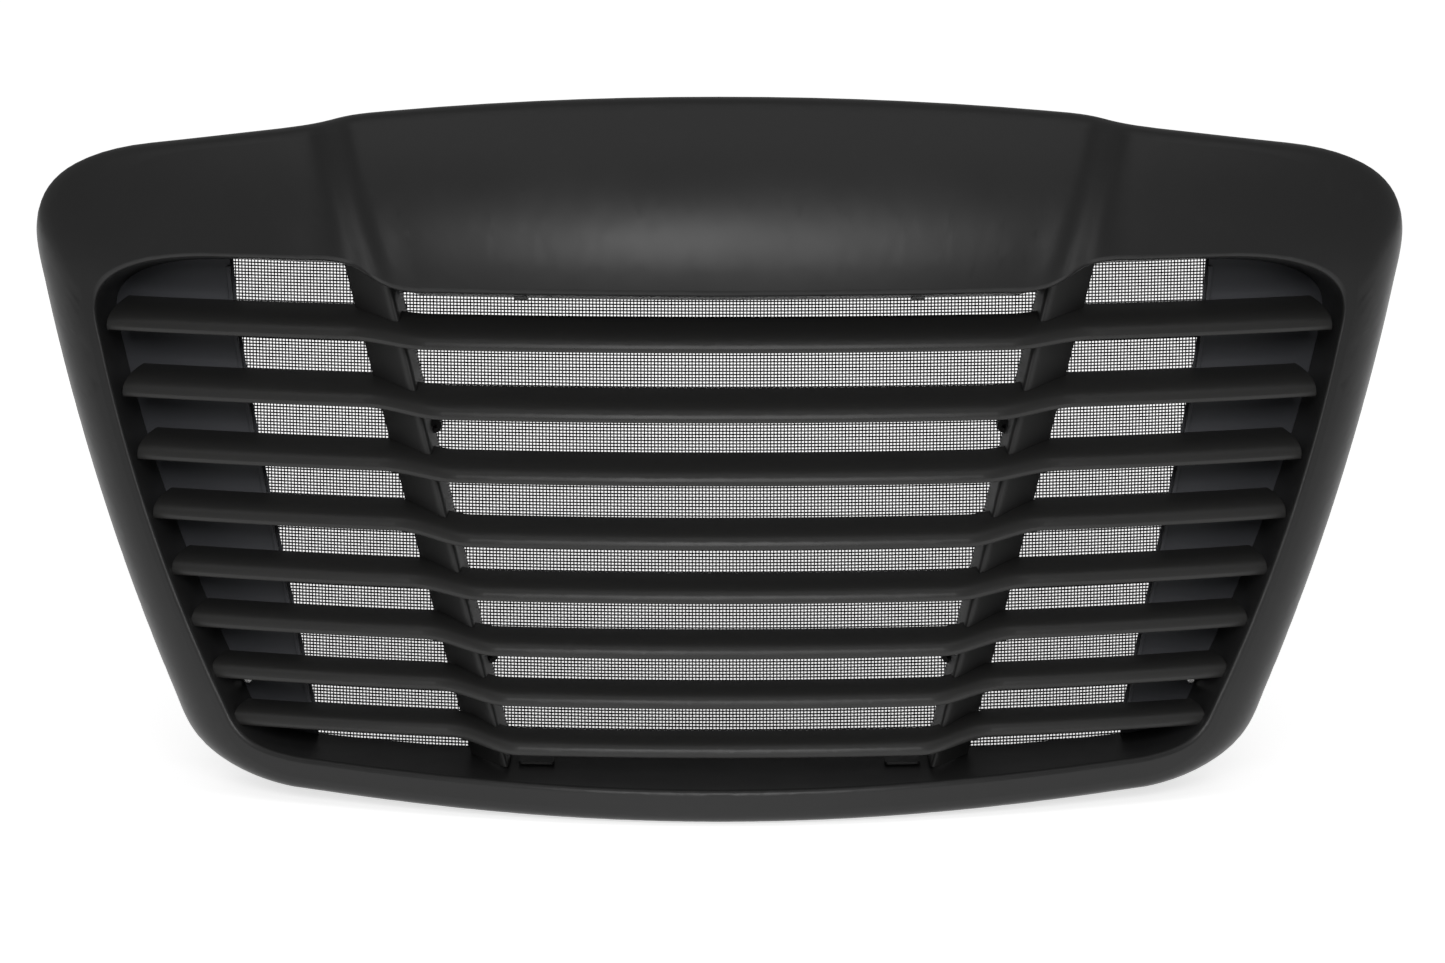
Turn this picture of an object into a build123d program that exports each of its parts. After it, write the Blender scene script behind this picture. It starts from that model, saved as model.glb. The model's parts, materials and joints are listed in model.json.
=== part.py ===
from build123d import *
import os
from math import hypot, sqrt

# Front grille of a heavy truck: a bowed surround, eight louvres on two posts, side panels, an insect screen.
# Millimetres. X runs across the grille, Y from front to back and Z up. Heights below are drawn from the
# lowest edge of the surround, depths from the face that bolts to the hood. The parts are lowered on export,
# so that the part's origin is the centre of the four hood bolts.

# Driving dimensions
FRONT = -260.0  # depth of the foremost point, the middle of the brow's lip
BOW_RADIUS = 1400.0  # plan curve shared by the louvres, the panels and the screen
STEP = 32.0  # how far the middle stands in front of the shoulders
WALL = 3.2  # moulding thickness of the surround
BROW_START = 480.0  # height where the brow starts to lean back
BROW_RADIUS = 190.0
REVEAL_BACK = -146.0  # back of the opening's inner wall on the centre line
REVEAL_DRAFT = 0.1375  # inward lean of that wall, per mm of depth
LEDGE_DRAFT = 0.055  # the same on the bottom bar
EDGE_RADIUS = 5.0  # rounding between the face and the inner wall
LOW_BOW_X = 470.0  # half width over which the bottom bar has its own, fuller bow
LOUVRE_RECESS = 12.0  # louvre's leading edge behind the face
LOUVRE_HEIGHTS = (428.9, 368.1, 310.6, 256.4, 204.8, 157.6, 111.0, 68.0)  # outer stretches, leading edge
LOUVRE_ENDS = (563.0, 549.0, 536.0, 522.0, 505.0, 487.0, 469.0, 448.0)
LOUVRE_DROPS = (3.5, 4.9, 3.7, 7.0, 4.1, 6.8, 5.7, 7.5)  # middle stretch below the outer ones
LOUVRE_TOP_DEPTH, LOUVRE_TOP_RISE = 55.0, 25.0  # section of the top louvre; the others shrink downwards
LOUVRE_DEPTH_RATIO, LOUVRE_RISE_RATIO = 0.955, 0.932
LOUVRE_END_SLANT = 0.27  # how far a louvre's end runs inwards, per mm of depth
POST_NOSE = 37.0  # post's nose behind the middle face
POST_DEPTH = 60.0
POST_WALL = 3.2
POST_ROUND = 18.0  # how far the nose's rounding reaches along both faces
SCREEN_BOSSES = ((260.0, 342.5), (211.0, 129.5))  # on the posts' inner sides, (x, z)
SCREEN_BOSS_RADIUS, SCREEN_BOSS_LENGTH = 6.2, 14.0
SCREEN_FRONT = -138.5
SCREEN_THICK = 1.0
CHANNEL_FRONT, CHANNEL_BACK = -141.5, -133.5
CHANNEL_TOP, CHANNEL_LOW, CHANNEL_WIDTH = 493.0, 40.0, 16.0
PANEL_FRONT, PANEL_THICK = -149.0, 2.5
FIT = 0.4  # clearance between parts that only meet
HOOD_BOLT_X, HOOD_BOLT_LOW, HOOD_BOLT_HIGH = 486.0, 110.0, 530.0
HOOD_HOLE = 5.5
LIP_CLIP_X, LEDGE_CLIP_X = 175.5, 167.0
BOSS_RADIUS, BOSS_END = 13.0, -80.0
BRACKET_THICK, BRACKET_PAD = 4.0, 34.0
INSERT_RADIUS, INSERT_LENGTH = 6.0, 16.0
PANEL_SCREW = (442.0, 96.0)
ORIGIN_HEIGHT = (HOOD_BOLT_LOW + HOOD_BOLT_HIGH) / 2


def bow(x):
    return BOW_RADIUS - sqrt(BOW_RADIUS**2 - x**2)


def smooth(t):
    t = min(max(t, 0.0), 1.0)
    return t * t * (3 - 2 * t)


def band_outer(z):
    """Half width at which the shoulder starts to step forward."""
    return 222.5 + 0.2445 * z


def band_inner(z):
    """Half width of the raised middle."""
    return 187.8 + 0.2204 * z


def upper_face(x, z):
    step = STEP * (1 - smooth((band_outer(z) - abs(x)) / (band_outer(z) - band_inner(z))))
    lean = max(z - BROW_START, 0.0) ** 2 / (2 * BROW_RADIUS)
    return FRONT + step + bow(x) + lean


def lower_face(x, z):
    """Bottom bar: no step, so its bow is fuller, and meets the side's in place and slope at LOW_BOW_X."""
    if abs(x) >= LOW_BOW_X:
        return FRONT + STEP + bow(x)
    rise = STEP + bow(LOW_BOW_X)
    slope = LOW_BOW_X / sqrt(BOW_RADIUS**2 - LOW_BOW_X**2)
    quartic = slope * LOW_BOW_X / 2 - rise
    t = (x / LOW_BOW_X) ** 2
    return FRONT + (rise - quartic) * t + quartic * t * t


# Opening's edge and outline, right half, front view: (x, z). Each stretch of one pairs with that of the other.
def curve(*points):
    return Bezier(*points)


OPENING = {
    "lip": Line((0, 475.5), (272, 476.5)),
    "ramp": curve((272, 476.5), (300, 476.6), (316, 499.5), (352, 499.5)),
    "shoulder": Line((352, 499.5), (450, 499.5)),
    "top_corner": curve((450, 499.5), (522, 499.5), (580.5, 484), (571.2, 440)),
    "side": ThreePointArc((571.2, 440), (526, 264), (455, 88)),
    "low_corner": curve((455, 88), (443, 58), (428, 48), (385, 43.5)),
    "bottom": ThreePointArc((385, 43.5), (193, 34.9), (0, 32)),
}
OUTLINE = {
    "lip": ThreePointArc((0, 644.3), (160, 640.4), (318, 628.5)),
    "ramp": curve((318, 628.5), (345, 626), (350, 618.5), (392, 613)),
    "shoulder": Line((392, 613), (512, 598)),
    "top_corner": curve((512, 598), (590, 590), (643, 566), (634.5, 500)),
    "side": ThreePointArc((634.5, 500), (581, 286), (497, 62)),
    "low_corner": curve((497, 62), (486, 40), (455, 20), (395, 12.5)),
    "bottom": ThreePointArc((395, 12.5), (198, 3.1), (0, 0)),
}
# stretch: sections, then share of the ring's width and depth of the outer round, flange, draft of the inner wall
RINGS = {
    "lip": (13, (0.06, 12, 20, REVEAL_DRAFT)),
    "ramp": (4, (0.07, 12, 20, REVEAL_DRAFT)),
    "shoulder": (5, (0.08, 13, 20, REVEAL_DRAFT)),
    "top_corner": (7, (0.10, 15, 20, REVEAL_DRAFT)),
    "side": (18, (0.80, 52, 20, REVEAL_DRAFT)),
    "low_corner": (5, (0.80, 52, 20, REVEAL_DRAFT)),
    "bottom": (18, (0.40, 20, 36, LEDGE_DRAFT)),
}


def station(stretch, t):
    """Places and edge sizes at share t of a stretch: inner (x, z), outer (x, z), round."""
    names = list(RINGS)
    inner, outer = OPENING[stretch] @ t, OUTLINE[stretch] @ t
    here = RINGS[stretch][1]
    after = RINGS[names[min(names.index(stretch) + 1, len(names) - 1)]][1]
    share = smooth(t) if stretch in ("top_corner", "low_corner") else 0.0
    edge = tuple(a + (b - a) * share for a, b in zip(here, after))
    return (inner.X, inner.Y), (outer.X, outer.Y), edge


def skin(inner, outer, edge, face, offset):
    """One side of the surround's section as stretches of points, offset inwards from the outer skin."""
    width = hypot(outer[0] - inner[0], outer[1] - inner[1])
    ux, uz = (outer[0] - inner[0]) / width, (outer[1] - inner[1]) / width

    def depth(u):
        return face(inner[0] + ux * u, inner[1] + uz * u)

    round_in, round_deep, flange, draft = edge[0] * width, *edge[1:]
    front = depth(0)
    back = REVEAL_BACK + bow(inner[0])
    lean_in = draft * (back - front)
    o = offset
    start = width - round_in
    reveal = [(-lean_in + o, back), (-draft * EDGE_RADIUS + o, front + EDGE_RADIUS)]
    corner = [reveal[1], (o, front + o), (EDGE_RADIUS, depth(EDGE_RADIUS) + o)]
    steps = 5
    middle = [EDGE_RADIUS + (start - EDGE_RADIUS) * k / steps for k in range(steps + 1)]
    across = [(u, depth(u) + o) for u in middle]
    slope = (depth(start) - depth(start - 1.0))
    hit = min(round_in, round_deep / max(slope, 0.05) * 0.8)
    rim = depth(start) + round_deep + slope * round_in * 0.5
    bend = (start + hit * 0.95 - o, depth(start) + o + slope * hit * 0.95)
    turn = [across[-1], bend, (width - o, rim)]
    edge_line = [(width - o, rim), (width - o, rim + flange)]
    parts = (reveal, corner, across, turn, edge_line)
    return [[Vector(inner[0] + ux * u, y, inner[1] + uz * u) for u, y in part] for part in parts]


def skin_edges(parts):
    reveal, corner, across, turn, flange = parts
    even = [k / (len(across) - 1) for k in range(len(across))]
    spline = Edge.make_spline(across, parameters=even)
    return [Line(*reveal), Bezier(*corner), spline, Bezier(*turn), Line(*flange)]


def section(inner, outer, edge, face):
    """Closed wire through the outer skin, the flange's end, the inner skin and the reveal's end."""
    out = skin(inner, outer, edge, face, 0.0)
    back = skin(inner, outer, edge, face, WALL)
    ends = [Line(out[-1][-1], back[-1][-1]), Line(back[0][0], out[0][0])]
    return Wire([*skin_edges(out), ends[0], *skin_edges(back)[::-1], ends[1]])


def mirrored(shape):
    return mirror(shape, about=Plane.YZ)


def biggest(shape):
    return sorted(shape.solids(), key=lambda s: s.volume)[-1]


def ring_stations():
    for name in RINGS:
        face = lower_face if name in ("low_corner", "bottom") else upper_face
        last = 1 if name == "bottom" else 0
        for k in range(RINGS[name][0] + last):
            yield (*station(name, k / RINGS[name][0]), face)


def make_ring_core():
    """Solid half ring that reaches half way into the moulding's wall; it trims the bosses."""
    sections = []
    for inner, outer, edge, face in ring_stations():
        parts = skin(inner, outer, edge, face, WALL / 2)
        edges = skin_edges(parts)
        sections.append(Wire([*edges, Line(parts[-1][-1], parts[0][0])]))
    return Solid.make_loft(sections)


def rod(x, z, y0, y1, radius):
    """Round bar along Y."""
    return Pos(x, y0, z) * extrude(Plane.XZ * Circle(radius), -(y1 - y0))


def hex_bar(x, z, y0, y1, radius):
    return Pos(x, y0, z) * extrude(Plane.XZ * RegularPolygon(radius, 6), -(y1 - y0))


def hood_points():
    return [(x, z) for z in (HOOD_BOLT_HIGH, HOOD_BOLT_LOW) for x in (HOOD_BOLT_X, -HOOD_BOLT_X)]


def make_surround():
    half = Solid.make_loft([section(*place) for place in ring_stations()])
    core = make_ring_core()
    for x, z in hood_points()[::2]:
        boss = rod(x, z, FRONT, BOSS_END, BOSS_RADIUS) & core
        half = half + boss
        half = half - rod(x, z, BOSS_END - INSERT_LENGTH, BOSS_END, INSERT_RADIUS)
    return half + mirrored(half)


# Louvres
def louvre_size(n):
    return LOUVRE_TOP_DEPTH * LOUVRE_DEPTH_RATIO**n, LOUVRE_TOP_RISE * LOUVRE_RISE_RATIO**n


def louvre_section(n, x):
    """Wire of louvre n in the upright plane at x."""
    z0 = LOUVRE_HEIGHTS[n]
    inside, outside = louvre_joggle(n)
    jog = smooth((abs(x) - inside) / (outside - inside))
    depth, rise = louvre_size(n)
    y_lead = FRONT + LOUVRE_RECESS + STEP * jog + bow(x)
    z_lead = z0 - LOUVRE_DROPS[n] * (1 - jog)
    climb = 0.42 * (rise - 11.5)

    def at(dy, dz):
        return Vector(x, y_lead + dy, z_lead + dz)

    lead, lip = at(0, 2.2), at(4.4, 2.2)
    back_top, back_low = at(depth, rise), at(depth, rise - 2.6)
    return Wire(
        [
            Bezier(lead, at(-0.2, 11.5), at(0.30 * depth, 14 + climb), back_top),
            Line(back_top, back_low),
            Bezier(back_low, at(0.33 * depth, 10.1 + climb), at(5.0, 9.0), lip),
            Bezier(lip, at(4.2, -3.0), at(0.2, -3.0), lead),
        ]
    )


def louvre_joggle(n):
    """Half widths between which a louvre steps back from its middle stretch to its outer one."""
    return band_inner(LOUVRE_HEIGHTS[n]) - 22, band_outer(LOUVRE_HEIGHTS[n]) + 8


def louvre_stretch(n, x0, x1, count):
    return Solid.make_loft([louvre_section(n, x0 + (x1 - x0) * k / count) for k in range(count + 1)])


def end_wedge(n):
    """Plan wedge that slants the end of louvre n inwards towards its rear."""
    x, z = LOUVRE_ENDS[n], LOUVRE_HEIGHTS[n]
    y = FRONT + LOUVRE_RECESS + STEP + bow(x)
    slanted = (x - 80 * LOUVRE_END_SLANT, y + 80)
    outline = Polyline((x, y), slanted, (x + 30, y + 80), (x + 30, y - 20), (x, y - 20), close=True)
    return Pos(0, 0, z - 20) * extrude(make_face(outline), 70, dir=(0, 0, 1))


def make_louvre(n, surround):
    """Middle stretch, joggles and outer stretches, whose slanted ends stop at the opening's wall."""
    inside, outside = louvre_joggle(n)
    arm = louvre_stretch(n, inside, outside, 8) + louvre_stretch(n, outside, LOUVRE_ENDS[n], 5)
    arm = biggest(biggest(arm - end_wedge(n)) - surround)
    return louvre_stretch(n, -inside, inside, 10) + arm + mirrored(arm)


# Posts
def inset_corner(a, k, b, t):
    """Corner k between directions to a and b, moved inwards by t from both sides."""
    to_a, to_b = (Vector(*a) - Vector(*k)).normalized(), (Vector(*b) - Vector(*k)).normalized()
    middle = (to_a + to_b).normalized()
    half_sine = (to_a - to_b).length / 2
    moved = Vector(*k) + middle * (t / half_sine)
    return moved.X, moved.Y


def post_sides(z):
    """Half widths of a post's inner and outer side."""
    return 182 + 0.232 * z, 218.5 + 0.248 * z


def post_section(z, t):
    """Plan section of a post, inset by t, as a wire at height z."""
    in_x, out_x = post_sides(z)
    nose = (in_x, FRONT + POST_NOSE + bow(in_x))
    spine = nose[1] + POST_DEPTH
    back = SCREEN_FRONT + bow(in_x) - FIT + t
    corner = inset_corner((out_x, spine), nose, (in_x, back), t)
    a, b = (out_x - t, spine + t * 0.4), (in_x + t, back)
    reach = POST_ROUND - t

    def towards(p, q):
        return Vector(*p) + (Vector(*q) - Vector(*p)).normalized() * reach

    t1, t2 = towards(corner, a), towards(corner, b)
    flat = [(a[0], back), a, (t1.X, t1.Y), corner, (t2.X, t2.Y), b]
    p = [Vector(px, py, z) for px, py in flat]
    return Wire([Line(p[0], p[1]), Line(p[1], p[2]), Bezier(*p[2:5]), Line(p[4], p[5]), Line(p[5], p[0])])


def make_post(surround, louvres):
    heights = [20, 140, 260, 380, 500]
    post = Solid.make_loft([post_section(z, 0.0) for z in heights])
    for x, z in SCREEN_BOSSES:
        seat = SCREEN_FRONT + bow(x - SCREEN_BOSS_RADIUS) - FIT
        post = post + rod(x, z, seat - SCREEN_BOSS_LENGTH, seat, SCREEN_BOSS_RADIUS)
    post = post - Solid.make_loft([post_section(z, POST_WALL) for z in heights])
    for x, z in SCREEN_BOSSES:
        post = post - rod(x, z, SCREEN_FRONT - SCREEN_BOSS_LENGTH, 0, 1.7)
    post = biggest(post - surround)
    height = CHANNEL_TOP - CHANNEL_LOW - 2 * FIT
    post = post & Pos(0, -100, (CHANNEL_TOP + CHANNEL_LOW) / 2) * Box(900, 300, height)
    for louvre in louvres:
        post = biggest(post - louvre)
    return post


# Bowed sheets and bars
def bowed(y0, y1, x0, x1, z0, z1):
    """Slab between two plan curves, upright from z0 to z1."""

    def arc(y, a, b):
        m = (a + b) / 2
        return ThreePointArc((a, y + bow(a), z0), (m, y + bow(m), z0), (b, y + bow(b), z0))

    front, back = arc(y0, x0, x1), arc(y1, x1, x0)
    outline = Wire([front, Line(front @ 1, back @ 0), back, Line(back @ 1, front @ 0)])
    return extrude(Face(outline), z1 - z0, dir=(0, 0, 1))


def upright(*points):
    """Prism along Y over a front-view polygon."""
    return Pos(0, FRONT, 0) * extrude(Plane.XZ * make_face(Polyline(*points, close=True)), 300, dir=(0, 1, 0))


def panel_inner(shift):
    return curve((452 + shift, 505), (449.5 + shift, 400), (420 + shift, 277), (372.5 + shift, 38))


def panel_strip(a, b):
    """Front-view region between the panel's inner edge moved out by a and by b."""
    one, two = panel_inner(a), panel_inner(b)
    outline = Wire([one, Line(one @ 1, two @ 1), two, Line(two @ 0, one @ 0)])
    return Pos(0, FRONT, 0) * extrude(Plane.XZ * make_face(outline), 300, dir=(0, 1, 0))


def panel_prism():
    """Front-view outline of the panel, a little into the opening's wall on its outer side."""
    outline = [
        Line((340, 491.5), (452, 491.5)),
        curve((452, 491.5), (520, 491.5), (573, 477), (565.5, 440)),
        ThreePointArc((565.5, 440), (520.5, 264), (450, 88)),
        curve((450, 88), (440, 62), (427, 53), (383, 48)),
        Line((383, 48), (340, 46)),
        Line((340, 46), (340, 491.5)),
    ]
    return Pos(0, FRONT, 0) * extrude(Plane.XZ * make_face(Wire(outline)), 300, dir=(0, 1, 0))


def make_panel(surround):
    sheet = bowed(PANEL_FRONT, PANEL_FRONT + PANEL_THICK, 340, 590, 30, 510)
    sheet = sheet & panel_prism() & panel_strip(0, 240)
    sheet = biggest(biggest(sheet) - surround)
    lip = bowed(PANEL_FRONT - 5, CHANNEL_FRONT - FIT, 340, 570, 62, 484) & panel_strip(0, 3.6)
    x, z = PANEL_SCREW
    shelf = bowed(CHANNEL_FRONT - 2.4, CHANNEL_FRONT - FIT, 340, 570, 56, 490) & panel_strip(-2.4, 1)
    return biggest(sheet + biggest(lip) + biggest(shelf) - rod(x, z, FRONT, 0, 2.0))


def channel_line(z):
    """Middle of the upright channel."""
    return 437 + (z - 93) * 0.1146


def make_side_channel():
    low, high = CHANNEL_LOW, CHANNEL_TOP
    h = CHANNEL_WIDTH / 2
    prism = upright((channel_line(low) - h, low), (channel_line(low) + h, low), (channel_line(high) + h, high),
                    (channel_line(high) - h, high))
    bar = bowed(CHANNEL_FRONT, CHANNEL_BACK, 380, 520, low + FIT, high - FIT) & prism
    x, z = PANEL_SCREW
    return bar - make_screen_sheet(FIT / 2) - rod(x, z, FRONT, 0, 2.0)


def make_screen_sheet(grow=0.0):
    low, high = CHANNEL_LOW - 7 - grow, CHANNEL_TOP + 7 + grow
    wide = grow - 3.5
    prism = upright((channel_line(low) + wide, low), (channel_line(high) + wide, high),
                    (-channel_line(high) - wide, high), (-channel_line(low) - wide, low))
    return bowed(SCREEN_FRONT - grow, SCREEN_FRONT + SCREEN_THICK + grow, -520, 520, low, high) & prism


def make_level_channel(z0):
    x = channel_line(z0) + (8 if z0 > 200 else 4)
    return bowed(CHANNEL_FRONT, CHANNEL_BACK, -x, x, z0, z0 + CHANNEL_WIDTH) - make_screen_sheet(FIT / 2)


# Fasteners and brackets
def make_lip_clip():
    """Small push-on pad under the brow's lip."""
    x, depth = LIP_CLIP_X, 24.0
    y = FRONT + bow(x) + depth
    z = 476.0 - REVEAL_DRAFT * depth - FIT
    block = Box(12, 10, 3, align=(Align.CENTER, Align.CENTER, Align.MAX))
    block = fillet(block.edges().filter_by(Axis.Z) + block.faces().sort_by(Axis.Z)[0].edges(), 1.0)
    return Pos(x, y, z) * Rot(-7.8, 0, 0) * block


def make_ledge_clip():
    """Flat spring tab on the bottom ledge, in front of the screen."""
    x, depth = LEDGE_CLIP_X, 78.0
    y = FRONT + bow(x) + depth
    z = 34.7 + LEDGE_DRAFT * depth + FIT
    tab = Box(32, 24, 2.2, align=(Align.CENTER, Align.CENTER, Align.MIN))
    tab = fillet(tab.edges().filter_by(Axis.Z), 3)
    return Pos(x, y, z) * Rot(3.2, -1.2, 0) * tab


def make_bracket(x, z):
    pad = BRACKET_PAD
    front = Pos(x, BOSS_END + BRACKET_THICK / 2, z) * Box(pad, BRACKET_THICK, pad)
    rear = Pos(x, -BRACKET_THICK / 2, z) * Box(pad, BRACKET_THICK, pad)
    web_x = x - (pad - BRACKET_THICK) / 2 * (1 if x > 0 else -1)
    web = Pos(web_x, BOSS_END / 2, z) * Box(BRACKET_THICK, -BOSS_END, pad)
    bracket = front + rear + web
    bracket = bracket - rod(x, z, BOSS_END - 1, BOSS_END + BRACKET_THICK + 1, 4.2)
    return bracket - rod(x, z, -BRACKET_THICK - 1, 1, HOOD_HOLE)


def screw(x, z, seat, length, shank, head, height):
    """Button-headed screw along Y with its head in front of the seat."""
    dome = Pos(x, seat - height, z) * extrude(Plane.XZ * Circle(head), -height)
    dome = fillet(dome.edges().sort_by(Axis.Y)[0], height * 0.7)
    socket = hex_bar(x, z, seat - height - 1, seat - height * 0.3, head * 0.55)
    return dome - socket + rod(x, z, seat, seat + length, shank)


def build():
    surround = make_surround()
    louvres = [make_louvre(n, surround) for n in range(len(LOUVRE_HEIGHTS))]
    post = make_post(surround, louvres)
    panel = make_panel(surround)
    screen = make_screen_sheet()
    for x, z in SCREEN_BOSSES:
        screen = screen - rod(x, z, FRONT, 0, 2.0) - rod(-x, z, FRONT, 0, 2.0)
    channel = make_side_channel()
    nodes = {"surround_shell": surround}
    for n, louvre in enumerate(louvres):
        nodes[f"louvre_{n + 1}"] = louvre
    for side, flip in (("left", lambda s: s), ("right", mirrored)):
        nodes[f"{side}_post"] = flip(post)
        nodes[f"{side}_side_panel"] = flip(panel)
        nodes[f"{side}_screen_channel"] = flip(channel)
    nodes["bug_screen"] = screen
    nodes["upper_screen_channel"] = make_level_channel(CHANNEL_TOP)
    nodes["lower_screen_channel"] = make_level_channel(CHANNEL_LOW - CHANNEL_WIDTH)
    x, z = PANEL_SCREW
    seat = PANEL_FRONT + bow(x) - 0.9
    nodes["panel_screws"] = [screw(i * x, z, seat, 14, 2.0, 4.6, 2.6) for i in (1, -1)]
    screws, washers = [], []
    for x, z in SCREEN_BOSSES:
        for i in (1, -1):
            under = SCREEN_FRONT + SCREEN_THICK + bow(x + SCREEN_BOSS_RADIUS) + FIT / 2
            washers.append(rod(i * x, z, under, under + 1.4, 6.2) - rod(i * x, z, under - 1, under + 3, 2.0))
            turned = mirror(screw(0, 0, 0, 12, 1.7, 4.2, 2.4), about=Plane.XZ)
            screws.append(Pos(i * x, under + 1.4, z) * turned)
    nodes["screen_screws"] = screws
    for name, clip in (("lip_clips", make_lip_clip()), ("ledge_clips", make_ledge_clip())):
        nodes[name] = [clip, mirrored(clip)]
    nodes["screen_washers"] = washers
    bolts, inserts = [], []
    for (x, z), name in zip(hood_points(), ("upper_left", "upper_right", "lower_left", "lower_right")):
        nodes[f"{name}_bracket"] = make_bracket(x, z)
        under = BOSS_END + BRACKET_THICK
        shank = rod(x, z, BOSS_END - 14, under, 4.0)
        bolts.append(hex_bar(x, z, under, under + 5.5, 7.5) + rod(x, z, under, under + 1.2, 8.5) + shank)
        inserts.append(rod(x, z, BOSS_END - INSERT_LENGTH, BOSS_END, INSERT_RADIUS)
                       - rod(x, z, BOSS_END - INSERT_LENGTH - 1, BOSS_END + 1, 4.0))
    nodes["bracket_bolts"] = bolts
    nodes["threaded_inserts"] = inserts
    return nodes


os.makedirs("parts", exist_ok=True)
lowered = Pos(0, 0, -ORIGIN_HEIGHT)
for name, shape in build().items():
    body = Compound([lowered * s for s in shape]) if isinstance(shape, list) else lowered * shape
    export_step(body, f"parts/{name}.step")
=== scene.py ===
# %% [markdown]
# # Front grille of a heavy truck
# This lesson dresses a finished CAD frame: a bowed black surround, eight louvres joggled over two slanted
# posts, two side panels and an insect screen. The CAD parts stay where they are. What Blender adds is the
# woven screen, the finishes, the light and the camera.

# %% Load the frame
import json
import math

import bmesh
import bpy
from mathutils import Matrix, Vector


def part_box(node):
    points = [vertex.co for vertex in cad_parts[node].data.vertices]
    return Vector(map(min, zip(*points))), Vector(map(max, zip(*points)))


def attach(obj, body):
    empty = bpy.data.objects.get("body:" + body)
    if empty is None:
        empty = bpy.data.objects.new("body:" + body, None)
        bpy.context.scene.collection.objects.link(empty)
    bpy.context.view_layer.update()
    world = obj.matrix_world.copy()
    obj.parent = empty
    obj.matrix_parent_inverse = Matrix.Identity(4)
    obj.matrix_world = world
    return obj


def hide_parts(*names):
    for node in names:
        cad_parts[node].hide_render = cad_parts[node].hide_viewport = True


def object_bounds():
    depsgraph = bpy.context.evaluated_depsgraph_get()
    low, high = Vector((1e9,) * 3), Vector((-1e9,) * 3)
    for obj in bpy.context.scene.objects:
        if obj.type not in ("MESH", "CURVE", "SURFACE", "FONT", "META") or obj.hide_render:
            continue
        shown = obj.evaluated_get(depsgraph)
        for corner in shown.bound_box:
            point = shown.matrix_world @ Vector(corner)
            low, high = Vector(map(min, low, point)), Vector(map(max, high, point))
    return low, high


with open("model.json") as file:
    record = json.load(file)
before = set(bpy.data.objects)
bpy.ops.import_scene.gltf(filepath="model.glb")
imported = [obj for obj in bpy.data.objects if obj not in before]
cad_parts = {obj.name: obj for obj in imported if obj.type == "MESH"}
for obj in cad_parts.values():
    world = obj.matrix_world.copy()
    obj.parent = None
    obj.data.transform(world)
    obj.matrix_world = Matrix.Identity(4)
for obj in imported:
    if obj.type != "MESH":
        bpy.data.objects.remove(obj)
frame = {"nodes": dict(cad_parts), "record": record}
cad_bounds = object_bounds()
print("CAD box:", cad_bounds)
nodes = frame["nodes"]
print(len(nodes), "parts in the frame")

# %% [markdown]
# The grille is bowed in plan: louvres, panels and screen all follow one circle of 1.4 m radius. The front of
# the screen at the centre line gives the circle its place, so anything new can be bent onto the same curve.

# %% Bow
BOW_RADIUS = 1.4
PLAIN_SHEET = 0.001


def bow(x):
    return BOW_RADIUS - math.sqrt(BOW_RADIUS**2 - x**2)


screen_low, screen_high = (Vector(corner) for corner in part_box("bug_screen"))
screen_middle = screen_low.y + PLAIN_SHEET / 2
screen_size = screen_high - screen_low
print("screen:", round(screen_size.x * 1000), "mm wide,", round(screen_size.z * 1000), "mm high")

# %% [markdown]
# A bmesh is Blender's mesh under construction. Every new piece here is finished the same way: its normals are
# made to point outwards, it becomes an object at the origin, and it rides on the one body of this part.

# %% Finish a piece
def make_piece(name, bm, finish, smooth=True):
    bmesh.ops.recalc_face_normals(bm, faces=bm.faces[:])
    mesh = bpy.data.meshes.new(name)
    bm.to_mesh(mesh)
    bm.free()
    mesh.materials.append(finish)
    if smooth:
        mesh.polygons.foreach_set("use_smooth", [True] * len(mesh.polygons))
    piece = bpy.data.objects.new(name, mesh)
    bpy.context.scene.collection.objects.link(piece)
    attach(piece, "root")
    print(name, len(mesh.polygons), "faces")
    return piece


# %% [markdown]
# Finishes are shader graphs. Each starts from a Principled shader with the plain values set on it, and a
# texture coordinate that reads the object's own space, so a pattern keeps its real size in metres. A picture
# would need unwrapping and would blur close up, and a pattern worked out in space needs neither.

# %% Start a finish
COAT_ROUGHNESS = 0.2


def start_finish(name, color, roughness, metallic=0.0, ior=1.5, coat=0.0):
    finish = bpy.data.materials.new(name)
    finish.use_nodes = True
    graph = finish.node_tree
    shader = graph.nodes["Principled BSDF"]
    shader.inputs["Base Color"].default_value = (*color, 1.0)
    shader.inputs["Roughness"].default_value = roughness
    shader.inputs["Metallic"].default_value = metallic
    shader.inputs["IOR"].default_value = ior
    shader.inputs["Coat Weight"].default_value = coat
    shader.inputs["Coat Roughness"].default_value = COAT_ROUGHNESS
    place = graph.nodes.new("ShaderNodeTexCoord")
    return {"material": finish, "graph": graph, "shader": shader, "place": place.outputs["Object"]}


# %% [markdown]
# Grain, dust and stains all start as noise, a value that wanders about one half. A map range then picks the
# part of it that counts: a narrow range gives hard-edged specks, and a wide one gives soft clouds.

# %% Noise and its range
def add_noise(finish, scale, detail=3.0, roughness=0.5, stretch=(1, 1, 1)):
    """Noise in object space; scale is in features per metre."""
    graph = finish["graph"]
    mapping = graph.nodes.new("ShaderNodeMapping")
    mapping.inputs["Scale"].default_value = stretch
    noise = graph.nodes.new("ShaderNodeTexNoise")
    noise.inputs["Scale"].default_value = scale
    noise.inputs["Detail"].default_value = detail
    noise.inputs["Roughness"].default_value = roughness
    graph.links.new(finish["place"], mapping.inputs["Vector"])
    graph.links.new(mapping.outputs["Vector"], noise.inputs["Vector"])
    return noise.outputs["Fac"]


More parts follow.
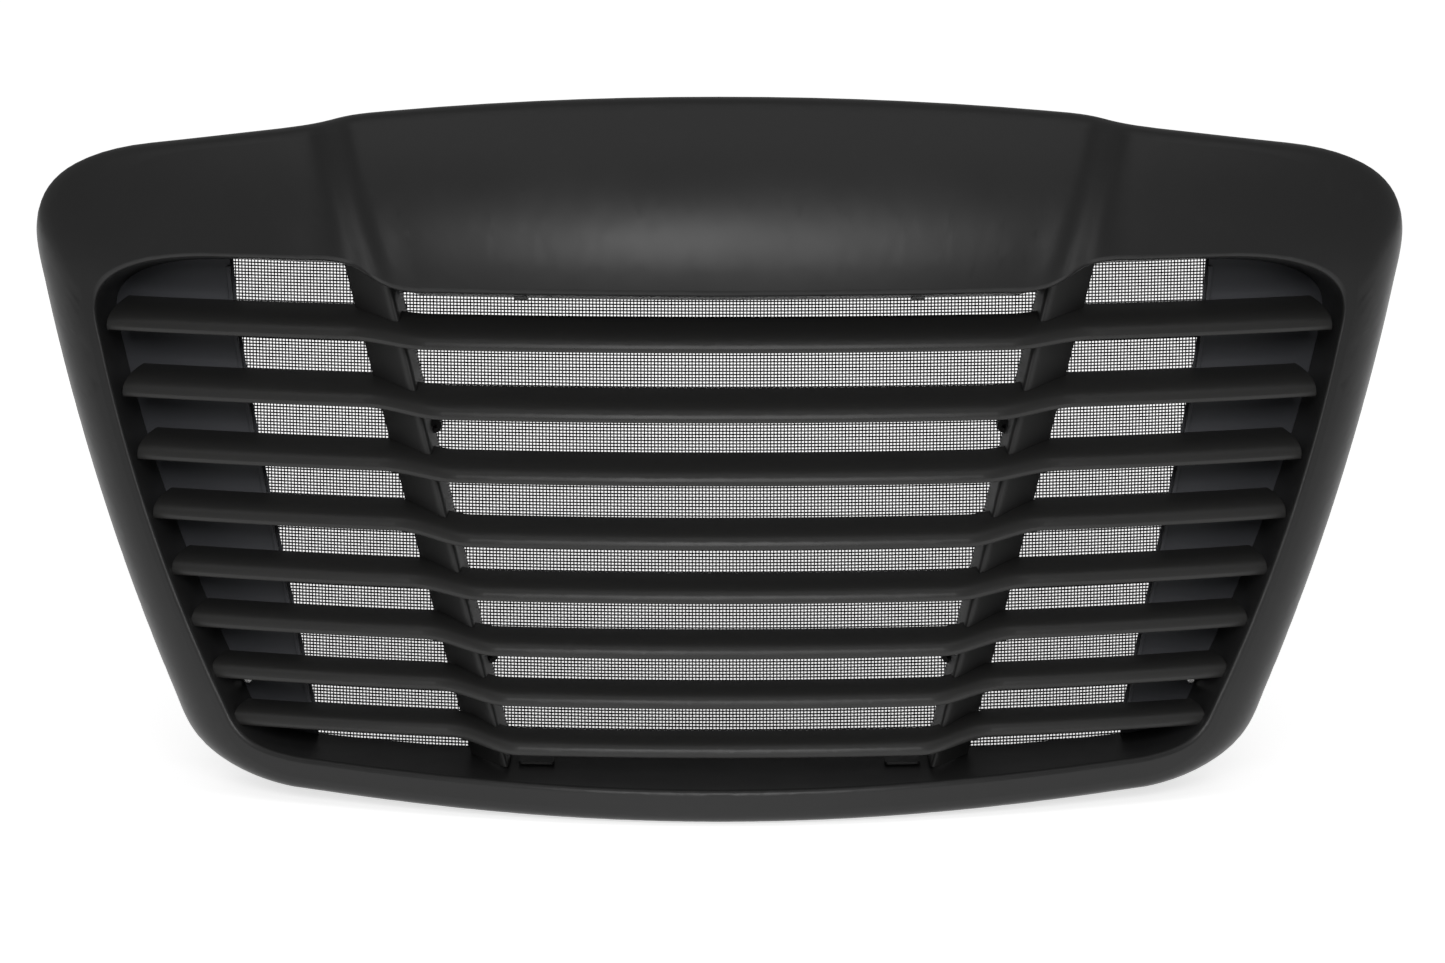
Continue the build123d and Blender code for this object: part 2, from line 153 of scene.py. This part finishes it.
def remap(finish, value, low, high, to_low, to_high):
    graph = finish["graph"]
    node = graph.nodes.new("ShaderNodeMapRange")
    for key, number in (("From Min", low), ("From Max", high), ("To Min", to_low), ("To Max", to_high)):
        node.inputs[key].default_value = number
    graph.links.new(value, node.inputs["Value"])
    return node.outputs["Result"]


# %% [markdown]
# Two small graph steps are needed again and again: one value times another, and a blend of two colours by a
# value. Blender's Mix node carries sockets for every kind of data, so its colour sockets are named here.

# %% Multiply and blend
MIX_COLOR_A, MIX_COLOR_B, MIX_COLOR_OUT = 6, 7, 2


def multiply(finish, first, second):
    node = finish["graph"].nodes.new("ShaderNodeMath")
    node.operation = "MULTIPLY"
    node.use_clamp = True
    for socket, value in zip(node.inputs, (first, second)):
        finish["graph"].links.new(value, socket)
    return node.outputs["Value"]


def mix_colors(finish, amount, first, second):
    graph = finish["graph"]
    mix = graph.nodes.new("ShaderNodeMix")
    mix.data_type = "RGBA"
    graph.links.new(amount, mix.inputs["Factor"])
    for number, color in ((MIX_COLOR_A, first), (MIX_COLOR_B, second)):
        if isinstance(color, tuple):
            mix.inputs[number].default_value = (*color, 1.0)
        else:
            graph.links.new(color, mix.inputs[number])
    return mix.outputs[MIX_COLOR_OUT]


# %% [markdown]
# Fine relief doesn't need more faces. A bump tilts the shading only, and several can stand on each other. The
# mouldings also have small rounds on every edge, and the Bevel node shades those on meshes that stay as they
# are.

# %% Bumps and rounded edges
BEVEL_SAMPLES = 4


def add_bump(finish, height, distance, strength=1.0):
    """Bump of a real height in metres, on top of any bump already there."""
    graph, shader = finish["graph"], finish["shader"]
    bump = graph.nodes.new("ShaderNodeBump")
    bump.inputs["Distance"].default_value = distance
    bump.inputs["Strength"].default_value = strength
    graph.links.new(height, bump.inputs["Height"])
    if shader.inputs["Normal"].is_linked:
        graph.links.new(shader.inputs["Normal"].links[0].from_socket, bump.inputs["Normal"])
    graph.links.new(bump.outputs["Normal"], shader.inputs["Normal"])


def round_edges(finish, radius):
    """Shades each edge as if it were rounded off, as a moulding's edges are."""
    rounding = finish["graph"].nodes.new("ShaderNodeBevel")
    rounding.samples = BEVEL_SAMPLES
    rounding.inputs["Radius"].default_value = radius
    finish["graph"].links.new(rounding.outputs["Normal"], finish["shader"].inputs["Normal"])


def link_to(finish, value, socket):
    finish["graph"].links.new(value, finish["shader"].inputs[socket])


# %% [markdown]
# The surround, louvres, posts and side panels are injection moulded in black plastic. Its satin comes from a
# fine grain in the tool, about half a millimetre across, that softens every reflection. Large, faint changes
# of gloss come from the way the melt cooled, and handling leaves a little pale dust. One recipe makes all
# four mouldings, so they look like one family.

# %% Moulded black plastic
EDGE_ROUND = 0.0011
PLASTIC_IOR = 1.38
DUST_PALENESS = 2.6


def moulded_plastic(name, color, roughness):
    finish = start_finish(name, color, roughness, ior=PLASTIC_IOR)
    round_edges(finish, EDGE_ROUND)
    clouds = add_noise(finish, 9, detail=4)
    rubbed = add_noise(finish, 55, detail=5, roughness=0.65)
    link_to(finish, remap(finish, clouds, 0.3, 0.7, roughness - 0.035, roughness + 0.045), "Roughness")
    dust = multiply(finish, remap(finish, rubbed, 0.58, 0.82, 0, 0.22), clouds)
    pale = tuple(value * DUST_PALENESS for value in color)
    link_to(finish, mix_colors(finish, dust, color, pale), "Base Color")
    add_bump(finish, add_noise(finish, 1700, detail=2), 0.00003, 0.45)
    add_bump(finish, add_noise(finish, 26, detail=1), 0.0004, 0.12)
    return finish["material"]


shell_black = moulded_plastic("surround_moulding", (0.018, 0.018, 0.018), 0.37)
louvre_black = moulded_plastic("louvre_moulding", (0.024, 0.0238, 0.0232), 0.4)
post_black = moulded_plastic("post_moulding", (0.021, 0.021, 0.0208), 0.44)
panel_black = moulded_plastic("side_panel_moulding", (0.05, 0.0515, 0.057), 0.5)
print("mouldings:", shell_black.name, louvre_black.name, post_black.name, panel_black.name)

# %% [markdown]
# Painted and plated metal need other details: the coat on the strips and brackets is thicker and slightly
# orange-peeled, and it wears to grey steel in small chips. Zinc screws are bright, with a spun grain. The
# grain is noise squeezed along one axis, which is cheaper than cutting grooves and holds up as well.

# %% Coated steel
WORN_STEEL = (0.22, 0.21, 0.2)


def coated_steel(name, color, roughness):
    finish = start_finish(name, color, roughness, coat=0.15)
    chips = remap(finish, add_noise(finish, 320, detail=6, roughness=0.7), 0.69, 0.73, 0, 1)
    link_to(finish, mix_colors(finish, chips, color, WORN_STEEL), "Base Color")
    gloss = remap(finish, add_noise(finish, 40, detail=3), 0.3, 0.7, roughness - 0.08, roughness + 0.1)
    link_to(finish, gloss, "Roughness")
    add_bump(finish, add_noise(finish, 700, detail=1), 0.00006, 0.5)
    return finish["material"]


strip_black = coated_steel("screen_strip_coat", (0.02, 0.02, 0.021), 0.42)
bracket_black = coated_steel("bracket_coat", (0.026, 0.026, 0.028), 0.46)
fixing_black = coated_steel("fixing_coat", (0.014, 0.014, 0.014), 0.4)
wire_black = coated_steel("screen_wire_coat", (0.02, 0.02, 0.022), 0.5)
print("coats:", strip_black.name, bracket_black.name, fixing_black.name, wire_black.name)

# %% Zinc and brass
GRAIN_STRETCH = (1, 1, 0.12)
STAIN_DARKNESS = 0.62


def plated_metal(name, color, roughness):
    finish = start_finish(name, color, roughness, metallic=1.0)
    brushed = add_noise(finish, 900, detail=3, stretch=GRAIN_STRETCH)
    link_to(finish, remap(finish, brushed, 0.3, 0.7, roughness - 0.07, roughness + 0.12), "Roughness")
    stain = remap(finish, add_noise(finish, 160, detail=4), 0.45, 0.75, 0, 0.5)
    stained = tuple(value * STAIN_DARKNESS for value in color)
    link_to(finish, mix_colors(finish, stain, color, stained), "Base Color")
    add_bump(finish, brushed, 0.00002, 0.4)
    return finish["material"]


zinc = plated_metal("zinc_plate", (0.62, 0.62, 0.61), 0.27)
brass = plated_metal("insert_brass", (0.66, 0.47, 0.2), 0.33)
print("metals:", zinc.name, brass.name)

# %% [markdown]
# Every CAD part takes the finish its record names, except that louvres and posts have their own batches of
# the same plastic, as parts from different tools do.

# %% Dress the CAD parts
finish_of_slot = {
    "moulded_black": shell_black,
    "panel_black": panel_black,
    "screen_wire": wire_black,
    "channel_black": strip_black,
    "hardware_black": fixing_black,
    "hardware_zinc": zinc,
    "bracket_steel": bracket_black,
    "insert_brass": brass,
}
slot_of_node = {part["node"]: part["material_slot"] for part in frame["record"]["subparts"]}


def finish_for(name):
    if name.startswith("louvre"):
        return louvre_black
    if name.endswith("post"):
        return post_black
    return finish_of_slot[slot_of_node[name]]


for name, part in nodes.items():
    part.data.materials.clear()
    part.data.materials.append(finish_for(name))
print("dressed", len(nodes), "parts")

# %% [markdown]
# The screen keeps insects off the radiator. It is woven wire: upright wires lie straight, and level wires
# pass in front of one and behind the next. Modelling each crossing by hand would be hopeless, so one level
# wire is drawn over two crossings, then copied in doubling steps, first along its row and then up the screen.
# The wires are a little thicker than real ones, because a plain pale background eats into thin wires.

# %% Copy in doubling steps
WIRE_PITCH, ROW_PITCH = 0.00311, 0.0029
UPRIGHT_RADIUS, LEVEL_RADIUS, CRIMP = 0.00064, 0.00084, 0.00095


def all_parts(bm):
    return bm.verts[:] + bm.edges[:] + bm.faces[:]


def repeat(bm, step, times):
    """Doubles the mesh again and again along step, until it has 2 ** times copies."""
    for power in range(times):
        copies = bmesh.ops.duplicate(bm, geom=all_parts(bm))["geom"]
        moved = [part for part in copies if isinstance(part, bmesh.types.BMVert)]
        bmesh.ops.translate(bm, verts=moved, vec=step * 2**power)


# %% Draw a level wire
def draw_level_wire(bm, start, over):
    """One level wire past two upright ones, in front of the first where over is 1."""
    turn = Matrix.Rotation(math.radians(90), 4, "Y") @ Matrix.Rotation(math.radians(45), 4, "Z")
    stand = Matrix.Translation(start) @ turn
    ring = bmesh.ops.create_circle(bm, segments=4, radius=LEVEL_RADIUS, matrix=stand)
    verts = ring["verts"]
    bmesh.ops.translate(bm, verts=verts, vec=(0, -CRIMP * over, 0))
    for direction in (1, 1, -1, -1):
        loop = list({edge for vert in verts for edge in vert.link_edges if edge.other_vert(vert) in verts})
        grown = bmesh.ops.extrude_edge_only(bm, edges=loop)["geom"]
        verts = [part for part in grown if isinstance(part, bmesh.types.BMVert)]
        bmesh.ops.translate(bm, verts=verts, vec=(WIRE_PITCH / 2, CRIMP * over * direction, 0))


# %% [markdown]
# The woven sheet is flat and far too wide at first. It is cut along the two slanted strips that hold its
# sides, and only then bent: each point moves back by the depth of the bow at its own distance from the
# middle.

# %% Cut and bend
STRIP_FOOT_GRIP, STRIP_HEAD_GRIP = 0.005, 0.009
strip_low, strip_high = (Vector(corner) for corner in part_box("left_screen_channel"))
edge_low = Vector((strip_low.x + STRIP_FOOT_GRIP, 0, strip_low.z))
edge_high = Vector((strip_high.x - STRIP_HEAD_GRIP, 0, strip_high.z))
edge_run = edge_high - edge_low
print("left edge of the screen leans out", round(edge_run.x * 1000), "mm from foot to head")


def trim(bm, point, outwards):
    bmesh.ops.bisect_plane(bm, geom=all_parts(bm), plane_co=point, plane_no=outwards, clear_outer=True)


def cut_and_bend(bm):
    for side in (1, -1):
        trim(bm, Vector((edge_low.x * side, 0, edge_low.z)), Vector((edge_run.z * side, 0, -edge_run.x)))
    trim(bm, Vector((0, 0, screen_low.z)), Vector((0, 0, -1)))
    trim(bm, Vector((0, 0, screen_high.z)), Vector((0, 0, 1)))
    for vert in bm.verts:
        vert.co.y += screen_middle + bow(vert.co.x)


# %% [markdown]
# The level wires come in bands of 32 rows, because one mesh of them all would be too heavy to handle. Seven
# doublings of two crossings give 256 of them. A row needs 320, so the row is copied once more, 64 crossings
# on, and the copies that fall on each other are merged.

# %% Level wires, in bands
BAND_ROWS = 32
CROSSINGS, CROSSING_DOUBLINGS, EXTRA_CROSSINGS = 320, 7, 64
PAIR_DOUBLINGS = 4
row_start = -WIRE_PITCH * CROSSINGS / 2
row_count = math.ceil(screen_size.z / ROW_PITCH)
for band in range(math.ceil(row_count / BAND_ROWS)):
    bm = bmesh.new()
    low = screen_low.z + ROW_PITCH * (band * BAND_ROWS + 0.5)
    draw_level_wire(bm, Vector((row_start, 0, low)), 1)
    draw_level_wire(bm, Vector((row_start, 0, low + ROW_PITCH)), -1)
    repeat(bm, Vector((WIRE_PITCH * 2, 0, 0)), CROSSING_DOUBLINGS)
    extra = bmesh.ops.duplicate(bm, geom=all_parts(bm))["geom"]
    moved = [part for part in extra if isinstance(part, bmesh.types.BMVert)]
    bmesh.ops.translate(bm, verts=moved, vec=(WIRE_PITCH * EXTRA_CROSSINGS, 0, 0))
    bmesh.ops.remove_doubles(bm, verts=bm.verts[:], dist=WIRE_PITCH / 200)
    repeat(bm, Vector((0, 0, ROW_PITCH * 2)), PAIR_DOUBLINGS)
    cut_and_bend(bm)
    make_piece(f"screen_level_wires_{band + 1}", bm, wire_black)

# %% [markdown]
# The upright wires are straight, so each is one six-sided tube, a little longer than the screen is high until
# the cut trims it. Nine doublings give 512 of them, more than the width needs, and the cut clears the rest.

# %% Upright wires
WIRE_DOUBLINGS = 9
SPARE_LENGTH = 0.001
bm = bmesh.new()
foot = Matrix.Translation((-WIRE_PITCH * 2 ** (WIRE_DOUBLINGS - 1), 0, screen_low.z - SPARE_LENGTH))
bmesh.ops.create_circle(bm, segments=6, radius=UPRIGHT_RADIUS, matrix=foot)
grown = bmesh.ops.extrude_edge_only(bm, edges=bm.edges[:])["geom"]
tops = [part for part in grown if isinstance(part, bmesh.types.BMVert)]
bmesh.ops.translate(bm, verts=tops, vec=(0, 0, screen_size.z + SPARE_LENGTH * 2))
repeat(bm, Vector((WIRE_PITCH, 0, 0)), WIRE_DOUBLINGS)
cut_and_bend(bm)
make_piece("screen_upright_wires", bm, wire_black)
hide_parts("bug_screen")

# %% [markdown]
# A satin black part shows its shape only through what it reflects. Pale paper lies under and behind it, so
# the lower edges of the louvres and rims catch it.
# The paper also glows, which is painted light: less near the grille and more far behind it, so the background
# stays white.
# In front the paper ends and the painted glow stops, which keeps the upright faces dark. Both are one large
# sheet, and its finish changes along Y.

# %% Floor finish and its painted glow
PAPER_FRONT, PAPER_FADE = -0.75, -1.5
GLOW_NEAR, GLOW_FAR = 0.0, 2.5
PAPER_WHITE, CARPET_GREY = (0.9, 0.9, 0.9), (0.12, 0.12, 0.12)
NO_GLOW, NEAR_GLOW, FAR_GLOW = (0.03, 0.03, 0.03), (0.68, 0.68, 0.68), (0.88, 0.88, 0.88)
floor_finish = start_finish("studio_floor", PAPER_WHITE, 0.8)
graph = floor_finish["graph"]
along = graph.nodes.new("ShaderNodeSeparateXYZ")
graph.links.new(floor_finish["place"], along.inputs["Vector"])
paper = remap(floor_finish, along.outputs["Y"], PAPER_FADE, PAPER_FRONT, 0, 1)
link_to(floor_finish, mix_colors(floor_finish, paper, CARPET_GREY, PAPER_WHITE), "Base Color")
# Painted light: the floor's glow rises from the grille to far behind it, and fades out in front along with
# the paper.
far = remap(floor_finish, along.outputs["Y"], GLOW_NEAR, GLOW_FAR, 0, 1)
glow = mix_colors(floor_finish, paper, NO_GLOW, NEAR_GLOW)
link_to(floor_finish, mix_colors(floor_finish, far, glow, FAR_GLOW), "Emission Color")
floor_finish["shader"].inputs["Emission Strength"].default_value = 1.0
print("paper reaches", -PAPER_FRONT, "m in front of the hood plane and glows fully", GLOW_FAR, "m behind it")

# %% Floor sheet
FLOOR_HALF, FLOOR_SHIFT, FLOOR_GAP = 30, 12, 0.001
bm = bmesh.new()
bmesh.ops.create_grid(bm, x_segments=1, y_segments=1, size=FLOOR_HALF)
bmesh.ops.translate(bm, verts=bm.verts[:], vec=(0, FLOOR_SHIFT, 0))
sheet = bpy.data.meshes.new("studio_floor")
bm.to_mesh(sheet)
bm.free()
sheet.materials.append(floor_finish["material"])
floor = bpy.data.objects.new("studio_floor", sheet)
floor.location.z = cad_bounds[0][2] - FLOOR_GAP
bpy.context.scene.collection.objects.link(floor)
print("floor at", round(floor.location.z, 4), "m")

# %% [markdown]
# A dim even sky keeps the deepest gaps from going fully black. One wide soft box above the camera draws the
# broad glow across the brow, and a weak one overhead fills the top. Area lamps are used because their size is
# what makes a highlight soft.

# %% Sky
SKY_STRENGTH = 0.18
world = bpy.data.worlds.new("studio")
bpy.context.scene.world = world
world.use_nodes = True
sky = world.node_tree.nodes["Background"]
sky.inputs["Color"].default_value = (1, 1, 1, 1)
sky.inputs["Strength"].default_value = SKY_STRENGTH
print("sky strength", SKY_STRENGTH)


# %% Soft boxes
def add_soft_box(name, place, target, width, height, radiance):
    """Area lamp of a stated radiance, whatever its size."""
    light = bpy.data.lights.new(name, "AREA")
    light.shape = "RECTANGLE"
    light.size, light.size_y = width, height
    light.energy = radiance * math.pi * width * height
    lamp = bpy.data.objects.new(name, light)
    bpy.context.scene.collection.objects.link(lamp)
    aim = Vector(target) - Vector(place)
    lamp.matrix_world = Matrix.Translation(place) @ aim.to_track_quat("-Z", "Y").to_matrix().to_4x4()
    print(name, round(light.energy, 1), "W")


add_soft_box("front_box", (0, -4.5, 1.74), (0, -0.2, 0.15), 3.0, 1.5, 7.6)
add_soft_box("top_box", (0, -1.1, 3.6), (0, -0.2, 0.2), 7.0, 2.4, 0.55)

# %% [markdown]
# The camera stands 3.4 m away and looks nine degrees down on the middle of the opening, with a long lens.

# %% Camera
DISTANCE, TILT = 3.4, math.radians(9)
LENS, SENSOR_WIDTH, SIDE_SHIFT = 93.85, 36, 0.0021
LOOK_HEIGHT, LOOK_DEPTH = 0.29927, -0.18
look_at = Vector((0, LOOK_DEPTH, cad_bounds[0][2] + LOOK_HEIGHT))
camera_data = bpy.data.cameras.new("camera")
camera_data.sensor_width = SENSOR_WIDTH
camera_data.lens = LENS
camera_data.shift_x = SIDE_SHIFT
camera = bpy.data.objects.new("camera", camera_data)
camera.location = look_at + Vector((0, -math.cos(TILT), math.sin(TILT))) * DISTANCE
camera.rotation_euler = (math.radians(90) - TILT, 0, 0)
bpy.context.scene.collection.objects.link(camera)
bpy.context.scene.camera = camera
bpy.context.scene.view_settings.view_transform = "Standard"
print("camera at", tuple(round(value, 3) for value in camera.location))
